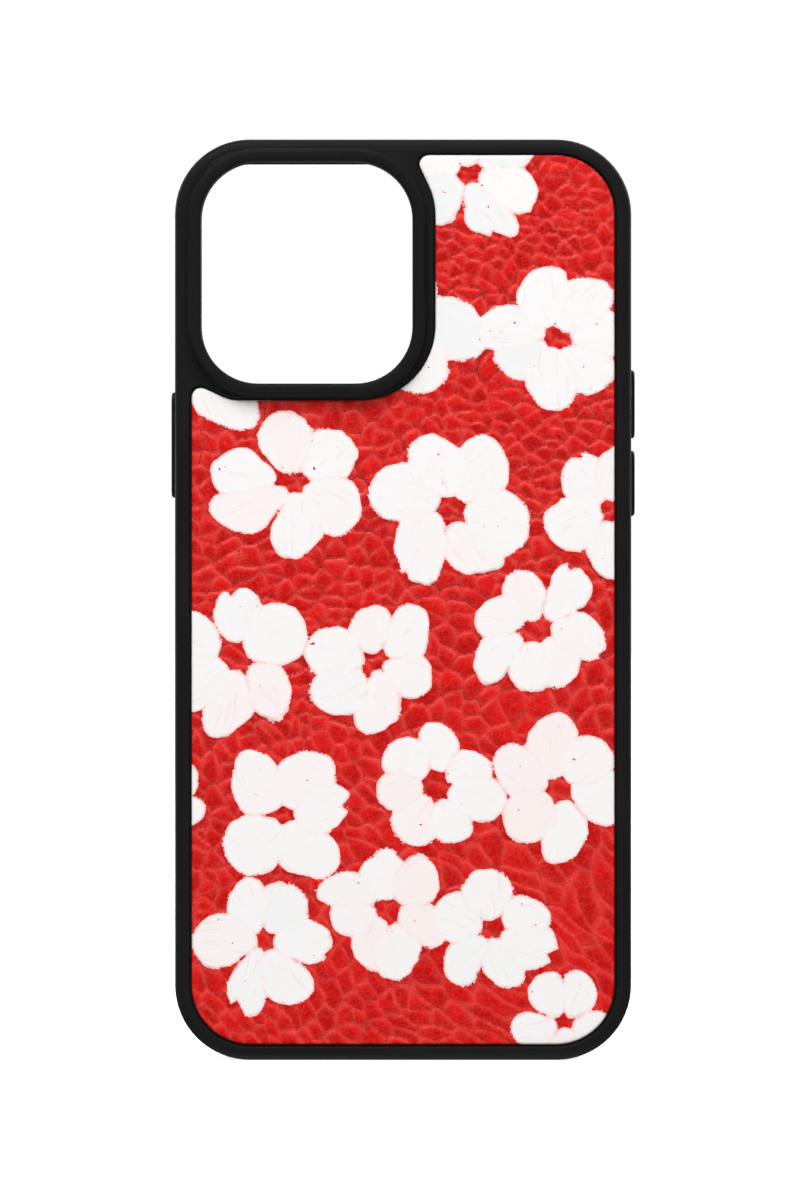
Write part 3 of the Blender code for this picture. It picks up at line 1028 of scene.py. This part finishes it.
@dataclass(frozen=True)
class LeatherFinish:
    """Dyed leather with a satin face, and white paint over it where the print is.

    Attributes:
        dye: Colour of most of the leather.
        dark_dye_and_shade: Colour of its darker clouds, and of the painted shade on the lower part of each
            pebble.
        shoulder_wear_and_highlight: Colour of the worn shoulders of the pebbles, which also serves as painted
            highlight along them.
        crease_shade: Colour of the painted shade at the bottom of the creases.
        raw: Colour of the cut edge and the back.
        paint_cool: Colour of the coolest strokes.
        paint_warm: Colour of the warmest strokes.
        paint: Colour of the strokes between them.
        paint_rim: Colour where the paint is thin, at its rims and along streaks.
        gloss: Strength of the reflections.
    """

    dye: Colour = (0.68, 0.005, 0.003)
    dark_dye_and_shade: Colour = (0.50, 0.001, 0.001)
    shoulder_wear_and_highlight: Colour = (0.88, 0.074, 0.062)
    crease_shade: Colour = (0.22, 0.002, 0.001)
    raw: Colour = (0.20, 0.012, 0.010)
    paint_cool: Colour = (0.855, 0.86, 0.865)
    paint_warm: Colour = (0.93, 0.84, 0.825)
    paint: Colour = (0.915, 0.89, 0.885)
    paint_rim: Colour = (0.92, 0.48, 0.45)
    gloss: float = 0.15

    def dyed(self, shader: Shader) -> tuple[Socket, Socket]:
        """The colour of the bare leather.

        Clouds of a darker dye go over all, and as painted light and shade the upper part of each pebble is
        lighter and the lower part darker. The shoulders are pale near the creases, from wear and as painted
        highlight, most of all high in a pebble and where the creases are deep, and along the small wrinkles
        within it. The bottoms of the creases are darkened as painted shade.

        Args:
            shader: The material's nodes.

        Returns:
            The colour, and the distance to the small wrinkles.
        """
        crease, depth = shader.attribute("crease"), shader.attribute("crease_depth")
        waves = {"Vector": shader.place(), "Scale": 0.9, "Detail": 1.0}
        stray = shader.add("ShaderNodeTexNoise", waves, "Color")
        furthest = Vector((1.3, 1.3, 1.3))
        shift = shader.add("ShaderNodeVectorMath", {0: stray, 1: furthest}, operation="MULTIPLY")
        where = shader.add("ShaderNodeVectorMath", {0: shader.place(), 1: shift}, operation="ADD")
        wrinkle = shader.cells(1.15, where)
        lie = shader.attribute("pebble_lie")
        tone = shader.maths("MULTIPLY_ADD", shader.attribute("pebble_tone"), 0.11, shader.noise(2.6, 2.0))
        # Painted light and shade: the upper part of each pebble is pushed towards the lighter dye and the lower
        # part towards the darker, as if lit from above.
        tone = shader.maths("MULTIPLY_ADD", lie, 0.07, tone)
        colour = shader.mix(shader.ramp(tone, 0.34, 0.68), self.dark_dye_and_shade, self.dye)
        # Wear and painted highlight: pale lines along the small wrinkles.
        fine = shader.maths("MULTIPLY", shader.ramp(wrinkle, 0.02, 0.11, 0.36, 0.0), shader.noise(1.9, 2.0))
        colour = shader.mix(fine, colour, self.shoulder_wear_and_highlight)
        # Wear and painted highlight: the shoulders near the creases are paler, most of all on the upper side of
        # each pebble, as if lit from above.
        flank_wear_and_highlight = shader.maths("MULTIPLY", shader.ramp(crease, 0.10, 1.05, 1.0, 0.0), shader.noise(1.2, 3.0))
        flank_wear_and_highlight = shader.maths("MULTIPLY", flank_wear_and_highlight, shader.ramp(lie, -0.9, 0.9, 0.20, 1.0))
        flank_wear_and_highlight = shader.maths("MULTIPLY", flank_wear_and_highlight, shader.ramp(depth, 0.1, 0.7, 0.5, 1.1))
        colour = shader.mix(flank_wear_and_highlight, colour, self.shoulder_wear_and_highlight)
        # Wear and painted highlight: a pale band close to every crease.
        near = shader.maths("MULTIPLY", shader.ramp(crease, 0.02, 0.30, 0.80, 0.0), shader.noise(1.4, 2.0))
        colour = shader.mix(near, colour, self.shoulder_wear_and_highlight)
        # Painted shade: the bottoms of the creases are darkened, more where they are deeper.
        bottom = shader.maths("MULTIPLY", shader.ramp(crease, 0.0, 0.13, 0.75, 0.0), depth)
        colour = shader.mix(bottom, colour, self.crease_shade)
        return shader.mix(shader.attribute("cut"), colour, self.raw), wrinkle

    def painted(self, shader: Shader) -> Socket:
        """The colour of the paint: strokes of their own tone, with streaks along them and a rosy rim.

        Args:
            shader: The material's nodes.

        Returns:
            The colour.
        """
        tone = shader.attribute("stroke_tone")
        colour = shader.mix(shader.ramp(tone, -1.0, -0.1, 1.0, 0.0), self.paint, self.paint_cool)
        colour = shader.mix(shader.ramp(tone, 0.0, 1.0, 0.0, 0.9), colour, self.paint_warm)
        stretch = Vector((0.16, 1.5, 1.0))
        brush = shader.attribute("brush", "Vector")
        where = shader.add("ShaderNodeVectorMath", {0: brush, 1: stretch}, operation="MULTIPLY")
        streak = shader.ramp(shader.noise(1.0, 4.0, where), 0.56, 0.78, 0.0, 0.34)
        colour = shader.mix(streak, colour, self.paint_rim)
        ragged = shader.maths("MULTIPLY_ADD", shader.noise(0.5, 2.0), 0.9, shader.attribute("stroke_edge"))
        colour = shader.mix(shader.ramp(ragged, 0.38, 1.1, 0.13, 0.0), colour, self.paint_rim)
        ragged = shader.maths("MULTIPLY_ADD", shader.noise(0.5, 2.0), 0.9, shader.attribute("print_edge"))
        return shader.mix(shader.ramp(ragged, 0.45, 1.05, 0.62, 0.0), colour, self.paint_rim)

    def make(self) -> bpy.types.Material:
        """Build the material.

        The paint ends in bristle marks, which are longer where the brush ran dry, and has a few specks of
        bare leather. It hides the pores and wrinkles under it, and is more matt than they are.

        Returns:
            The material.
        """
        shader = Shader("red_pebbled_leather")
        bare, wrinkle = self.dyed(shader)
        dry = shader.ramp(shader.noise(4.0, 1.0), 0.42, 0.66, 0.25, 1.5)
        bristle = shader.maths("MULTIPLY", shader.maths("SUBTRACT", shader.noise(0.42, 3.0), 0.5), dry)
        laid = shader.ramp(shader.maths("ADD", bristle, shader.attribute("print_edge")), -0.06, 0.08)
        unspeckled = shader.ramp(shader.noise(1.3, 2.0), 0.735, 0.755, 1.0, 0.0)
        covered = shader.maths("MULTIPLY", laid, unspeckled)
        colour = shader.mix(covered, bare, self.painted(shader))
        folds = shader.ramp(wrinkle, 0.0, 0.12)
        pores = shader.noise(0.16, 3.0)
        hidden = shader.ramp(covered, 0.0, 1.0, 1.0, 0.1)
        folded = shader.maths("MULTIPLY", folds, shader.noise(2.2, 1.0))
        height = shader.maths("MULTIPLY_ADD", pores, 0.4, folded)
        normal = shader.bump(shader.maths("MULTIPLY", height, hidden), 0.05)
        matt = shader.maths("MULTIPLY_ADD", covered, 0.35, shader.noise(1.1, 3.0))
        return shader.surface(
            Base_Color=colour,
            Roughness=shader.ramp(matt, 0.3, 1.0, 0.36, 0.64),
            Normal=normal,
            Specular_IOR_Level=self.gloss,
        )


@dataclass(frozen=True)
class MouldedFinish:
    """Moulded plastic with a fine spark-eroded texture.

    Attributes:
        name: Name of the material.
        colour: Its colour.
        roughness: Its mean roughness.
        gloss: Strength of its reflections.
        texture: Depth of the texture, in millimetres.
        bloom: What the bloom multiplies the colour by, and what it adds.
        handling: How much less rough and more rough it is where it was handled more and less.
    """

    name: str
    colour: Colour
    roughness: float
    gloss: float
    texture: float
    bloom: tuple[float, float] = (1.35, 0.0004)
    handling: tuple[float, float] = (0.05, 0.06)

    def make(self) -> bpy.types.Material:
        """Build the material: pits of the mould's texture, slow changes of gloss, and a faint bloom.

        Returns:
            The material.
        """
        shader = Shader(self.name)
        handled = shader.noise(17.0, 4.0)
        pits = shader.noise(0.19, 2.0)
        bloomed = tuple(value * self.bloom[0] + self.bloom[1] for value in self.colour)
        colour = shader.mix(shader.ramp(handled, 0.36, 0.68), self.colour, bloomed)
        smoothest, roughest = self.roughness - self.handling[0], self.roughness + self.handling[1]
        return shader.surface(
            Base_Color=colour,
            Roughness=shader.ramp(handled, 0.32, 0.7, smoothest, roughest),
            Normal=shader.bump(pits, self.texture),
            Specular_IOR_Level=self.gloss,
        )


@dataclass(frozen=True)
class MicrofibreFinish:
    """Short brushed nap, dark grey, whose fibres lie one way in some patches and the other way in others.

    Attributes:
        fibre: Colour where the fibres lie down.
        brushed: Colour where they stand.
        fibre_depth: Depth of the gaps between fibres, in millimetres.
        patch_depth: Depth of the patches, in millimetres.
    """

    fibre: Colour = (0.030, 0.030, 0.032)
    brushed: Colour = (0.052, 0.052, 0.055)
    fibre_depth: float = 0.09
    patch_depth: float = 0.12

    def make(self) -> bpy.types.Material:
        """Build the material, with fibres and patches that are longer along the case than across it.

        Returns:
            The material.
        """
        shader = Shader("grey_microfibre")
        lie = shader.noise(9.0, 3.0, shader.place((1.0, 1.0, 0.55)))
        fibres = shader.noise(0.24, 3.0, shader.place((1.0, 1.0, 0.3)))
        share = shader.maths("MULTIPLY_ADD", fibres, 0.55, shader.ramp(lie, 0.36, 0.66, 0.0, 0.5))
        colour = shader.mix(share, self.fibre, self.brushed)
        normal = shader.bump(fibres, self.fibre_depth, shader.bump(lie, self.patch_depth))
        return shader.surface(
            Base_Color=colour,
            Roughness=0.95,
            Normal=normal,
            Specular_IOR_Level=0.15,
            Sheen_Weight=0.35,
            Sheen_Roughness=0.5,
        )


@dataclass(frozen=True)
class GlueFinish:
    """A thin film of cured adhesive, a little cloudy, with small bubbles.

    Attributes:
        clear: Colour where it is clearest.
        cloudy: Colour where it is cloudiest.
        bubbles: Depth of the bubbles, in millimetres.
    """

    clear: Colour = (0.58, 0.58, 0.54)
    cloudy: Colour = (0.70, 0.70, 0.66)
    bubbles: float = 0.02

    def make(self) -> bpy.types.Material:
        """Build the material.

        Returns:
            The material.
        """
        shader = Shader("cured_adhesive")
        cloud = shader.noise(5.0, 4.0)
        colour = shader.mix(shader.ramp(cloud, 0.35, 0.65), self.clear, self.cloudy)
        normal = shader.bump(shader.noise(0.8, 2.0), self.bubbles)
        rough = shader.ramp(cloud, 0.3, 0.7, 0.3, 0.45)
        return shader.surface(Base_Color=colour, Roughness=rough, Normal=normal)


SOFT_BLACK = MouldedFinish("soft_black_moulding", (0.0052, 0.0051, 0.0052), 0.68, 0.12, 0.010)
BUTTON_BLACK = MouldedFinish("black_buttons", (0.0046, 0.0046, 0.0047), 0.62, 0.12, 0.008)
PLATE_BLACK = MouldedFinish("black_plate", (0.0090, 0.0090, 0.0095), 0.40, 0.40, 0.006)
STRIP_GREY = MouldedFinish("grey_strips", (0.045, 0.045, 0.047), 0.45, 0.40, 0.006)


# The pieces of the case.


@dataclass
class LeatherBack:
    """The leather that fills the window of the bumper.

    Attributes:
        grain: Its grain.
        print: The flowers on it.
        pitch: Spacing of its points.
        roll: Radius of its rolled edge.
        paint_thickness: How far the paint stands on the leather.
        filled: How much of the grain still shows in the paint.
        paint_edge: Distances inside the print between which the paint rises to its thickness.
        gathered: How far a point may move onto a crease, as a share of the spacing.
    """

    grain: Grain = field(default_factory=Grain)
    print: FlowerPrint = field(default_factory=FlowerPrint)
    pitch: float = 0.366
    roll: float = 0.4
    paint_thickness: float = 0.02
    filled: float = 0.05
    paint_edge: tuple[float, float] = (-0.15, 0.25)
    gathered: float = 0.45

    def build(self) -> bpy.types.Object:
        """Make the leather, with its grain raised and its print's facts on its points.

        Returns:
            The new piece.
        """
        low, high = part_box("leather_panel")
        outline = Outline.of_node("leather_panel")
        sheet = Sheet(outline, Facing.REAR, low.y / MM, high.y / MM, self.pitch, self.roll)
        sheet.lay_out(lambda points: self.grain.gather(points, self.pitch * self.gathered))
        flat = sheet.places[:, [0, 2]]
        pebbles, paint = self.grain.read(flat), self.print.read(flat)
        covered = smooth_step(paint.edge, *self.paint_edge)
        height = pebbles.height * (1 - covered * (1 - self.filled)) + covered * self.paint_thickness
        sheet.raise_relief(height)
        values = {
            "crease": pebbles.crease,
            "crease_depth": pebbles.depth,
            "pebble_tone": pebbles.tone,
            "pebble_lie": pebbles.lie,
            "print_edge": np.where(sheet.seen, paint.edge, OUTSIDE),
            "stroke_edge": paint.stroke_edge,
            "stroke_tone": paint.tone,
            "brush": paint.brush,
            "cut": np.where(sheet.seen, 0.0, 1.0),
        }
        piece = sheet.make("leather_back", values)
        piece.data.materials.append(LeatherFinish().make())
        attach(piece, "case_body")
        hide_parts("leather_panel")
        width, length = outline.size * MM
        return piece


@dataclass
class Lining:
    """The microfibre that the phone lies on.

    Attributes:
        pitch: Spacing of its points.
        roll: Radius of its soft edge.
        nap: Height of the waves in its nap.
        waves: The shapes of those waves.
    """

    pitch: float = 0.9
    roll: float = 0.15
    nap: float = 0.02
    waves: tuple[Wave, ...] = (Wave(7.0, 11.0, 1.0, 71), Wave(2.6, 3.4, 0.5, 72))

    def build(self) -> bpy.types.Object:
        """Make the lining, with the waves of a nap that fingers have brushed.

        The waves are added up and lowered by their greatest sum, so that none stands above the face.

        Returns:
            The new piece.
        """
        low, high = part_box("microfibre_lining")
        outline = Outline.of_node("microfibre_lining")
        sheet = Sheet(outline, Facing.FRONT, high.y / MM, low.y / MM, self.pitch, self.roll)
        sheet.lay_out()
        x, _, z = sheet.places.T
        height = sum(wave.read(x, z) for wave in self.waves)
        top = sum(wave.strength for wave in self.waves)
        sheet.raise_relief(self.nap * (height - top))
        piece = sheet.make("lining_nap", {})
        piece.data.materials.append(MicrofibreFinish().make())
        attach(piece, "case_body")
        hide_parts("microfibre_lining")
        width, length = outline.size * MM
        return piece


@dataclass
class Moulding:
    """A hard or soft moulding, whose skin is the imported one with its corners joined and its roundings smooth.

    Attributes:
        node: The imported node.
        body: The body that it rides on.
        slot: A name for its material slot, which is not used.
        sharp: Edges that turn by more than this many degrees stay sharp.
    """

    node: str
    body: str
    slot: str
    sharp: float = 50.0

    def build(self, finish: bpy.types.Material) -> bpy.types.Object:
        """Make the skin and dress it.

        Args:
            finish: Its material.

        Returns:
            The new piece.
        """
        form = bmesh.new()
        form.from_mesh(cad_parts[self.node].data)
        bmesh.ops.remove_doubles(form, verts=form.verts, dist=WELD * MM)
        mesh = bpy.data.meshes.new(f"{self.node}_skin")
        form.to_mesh(mesh)
        form.free()
        mesh.shade_smooth()
        mesh.set_sharp_from_angle(angle=math.radians(self.sharp))
        piece = bpy.data.objects.new(mesh.name, mesh)
        bpy.context.scene.collection.objects.link(piece)
        weighted = piece.modifiers.new("even_shading", "WEIGHTED_NORMAL")
        weighted.keep_sharp = True
        mesh.materials.clear()
        mesh.materials.append(finish)
        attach(piece, self.body)
        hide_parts(self.node)
        return piece


@dataclass
class Mouldings:
    """Every moulded piece of the case, with its finish.

    Attributes:
        controls: What the buttons control.
        retained: Which buttons each retainer keeps in the wall.
    """

    controls: tuple[str, ...] = ("power", "volume_up", "volume_down")
    retained: tuple[str, ...] = ("power", "volume")

    def build(self) -> list[bpy.types.Object]:
        """Make the frame, the plate, the buttons and their retainers.

        Returns:
            The new pieces.
        """
        soft, button, plate, strip = (
            finish.make() for finish in (SOFT_BLACK, BUTTON_BLACK, PLATE_BLACK, STRIP_GREY)
        )
        pieces = [
            Moulding("bumper_frame", "case_body", "bumper_soft_plastic").build(soft),
            Moulding("back_plate", "case_body", "plate_plastic").build(plate),
        ]
        for control in self.controls:
            moulding = Moulding(f"{control}_button", f"{control}_cap", "button_plastic")
            pieces.append(moulding.build(button))
        for buttons in self.retained:
            moulding = Moulding(f"{buttons}_button_retainer", "case_body", "retainer_plastic")
            pieces.append(moulding.build(strip))
        return pieces


def dress_adhesives() -> None:
    """Give the two films of adhesive their finish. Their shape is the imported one."""
    finish = GlueFinish().make()
    for node in ("leather_adhesive", "lining_adhesive"):
        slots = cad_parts[node].material_slots
        slots[0].material = finish


# The studio.


@dataclass(frozen=True)
class Softbox:
    """A square soft light.

    Attributes:
        name: Its name.
        place: Where it hangs, in metres.
        side: Its side, in metres.
        power: Its power, in watts.
    """

    name: str
    place: tuple[float, float, float]
    side: float
    power: float

    def build(self, target: Vector) -> None:
        """Hang the light.

        Args:
            target: The place that it is turned towards.
        """
        light = bpy.data.lights.new(self.name, "AREA")
        light.size, light.energy = self.side, self.power
        lamp = bpy.data.objects.new(self.name, light)
        lamp.location = self.place
        lamp.rotation_euler = (target - Vector(self.place)).to_track_quat("-Z", "Y").to_euler()
        bpy.context.scene.collection.objects.link(lamp)


@dataclass(frozen=True)
class Studio:
    """A white room with soft light from above, and a long lens square on to the back of the case.

    Attributes:
        view_height: Height of what the camera sees, at the back of the case.
        view_across: How far right of the case's middle the camera stands.
        view_middle: Height of the middle of the view.
        view_depth: Where that back lies.
        lens: Focal length.
        sensor: Height of the sensor.
        far_clip: How far the camera sees, in metres.
        floor_radius: Radius of the floor, in metres.
        floor_sides: How many sides the floor has.
        floor_colour: Colour of the floor.
        floor_glow: How bright the floor is by itself.
        backdrop: How bright the background looks.
        sky: Strength of the light from straight above.
        ground: Strength of the light from below.
        horizon: Height, as a part of a unit vector, at which the light starts to grow towards the sky's.
        lights: The soft lights.
    """

    view_height: float = 214.85
    view_across: float = -0.2
    view_middle: float = 82.4
    view_depth: float = -4.7
    lens: float = 180.0
    sensor: float = 36.0
    far_clip: float = 100.0
    floor_radius: float = 8.0
    floor_sides: int = 96
    floor_colour: Colour = (0.8, 0.8, 0.8)
    floor_glow: float = 0.8
    backdrop: float = 1.05
    sky: float = 0.72
    ground: float = 0.355
    horizon: float = -0.1
    lights: tuple[Softbox, ...] = (
        Softbox("key", (-0.30, -0.75, 1.25), 0.6, 18.0),
        Softbox("fill", (0.95, -0.75, 0.45), 0.8, 2.7),
        Softbox("screen_side", (0.5, 1.1, 0.9), 0.8, 9.0),
        Softbox("left_side", (-0.9, 1.0, 0.5), 0.7, 9.0),
        Softbox("right_side", (0.9, 1.0, 0.5), 0.7, 9.0),
        Softbox("below", (0.0, -0.1, -1.0), 0.6, 7.0),
    )

    def build_camera(self) -> None:
        """Put the camera where the view has its height."""
        camera = bpy.data.cameras.new("camera")
        camera.sensor_fit, camera.sensor_height, camera.lens = "VERTICAL", self.sensor, self.lens
        camera.clip_end = self.far_clip
        away = self.view_height * self.lens / self.sensor
        holder = bpy.data.objects.new("camera", camera)
        holder.location = (self.view_across * MM, (self.view_depth - away) * MM, self.view_middle * MM)
        holder.rotation_euler = (math.pi / 2, 0.0, 0.0)
        bpy.context.scene.collection.objects.link(holder)
        bpy.context.scene.camera = holder

    def build_sky(self) -> None:
        """Light the room from all round, more from above, behind a background that is plain white."""
        world = bpy.data.worlds.new("white_room")
        world.use_nodes = True
        nodes, links = world.node_tree.nodes, world.node_tree.links
        nodes.clear()
        where = nodes.new("ShaderNodeTexCoord")
        parts = nodes.new("ShaderNodeSeparateXYZ")
        links.new(where.outputs["Generated"], parts.inputs[0])
        strength = nodes.new("ShaderNodeMapRange")
        strength.interpolation_type = "SMOOTHSTEP"
        rise = {"From Min": self.horizon, "From Max": 1.0, "To Min": self.ground, "To Max": self.sky}
        for key, value in rise.items():
            strength.inputs[key].default_value = value
        links.new(parts.outputs["Z"], strength.inputs["Value"])
        lit, white = nodes.new("ShaderNodeBackground"), nodes.new("ShaderNodeBackground")
        links.new(strength.outputs[0], lit.inputs["Strength"])
        for background in (lit, white):
            background.inputs["Color"].default_value = (*WHITE, 1.0)
        white.inputs["Strength"].default_value = self.backdrop
        choose, ray = nodes.new("ShaderNodeMixShader"), nodes.new("ShaderNodeLightPath")
        links.new(ray.outputs["Is Camera Ray"], choose.inputs[0])
        links.new(lit.outputs[0], choose.inputs[1])
        links.new(white.outputs[0], choose.inputs[2])
        output = nodes.new("ShaderNodeOutputWorld")
        links.new(choose.outputs[0], output.inputs["Surface"])
        bpy.context.scene.world = world

    def build_floor(self) -> None:
        """Lay a pale floor, bright enough to run into the background."""
        form = bmesh.new()
        bmesh.ops.create_circle(form, cap_ends=True, segments=self.floor_sides, radius=self.floor_radius)
        mesh = bpy.data.meshes.new("floor")
        form.to_mesh(mesh)
        form.free()
        floor = bpy.data.objects.new("floor", mesh)
        floor.visible_diffuse = floor.visible_glossy = floor.visible_shadow = False
        bpy.context.scene.collection.objects.link(floor)
        shader = Shader("white_floor")
        finish = shader.surface(
            Base_Color=self.floor_colour,
            Roughness=1.0,
            Emission_Color=WHITE,
            Emission_Strength=self.floor_glow,
        )
        mesh.materials.append(finish)
        floor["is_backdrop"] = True

    def build(self) -> None:
        """Set up the room, its lights and the camera."""
        bpy.context.scene.view_settings.view_transform = "Standard"
        self.build_sky()
        self.build_floor()
        for light in self.lights:
            light.build(Vector((0.0, 0.0, self.view_middle * MM)))
        self.build_camera()


def main() -> None:
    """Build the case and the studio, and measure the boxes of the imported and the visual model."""
    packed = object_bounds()
    Studio().build()
    for part in (LeatherBack(), Lining()):
        piece = part.build()
        log.info("%s: %d points", piece.name, len(piece.data.vertices))
    for piece in Mouldings().build():
        log.info("%s: %d points", piece.name, len(piece.data.vertices))
    dress_adhesives()
    boxes = {"packed": packed, "visual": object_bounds()}
    json.dumps({key: [list(corner) for corner in box] for key, box in boxes.items()})


if __name__ == "__main__":
    logging.basicConfig(level=logging.INFO, format="%(name)s: %(message)s")
    main()
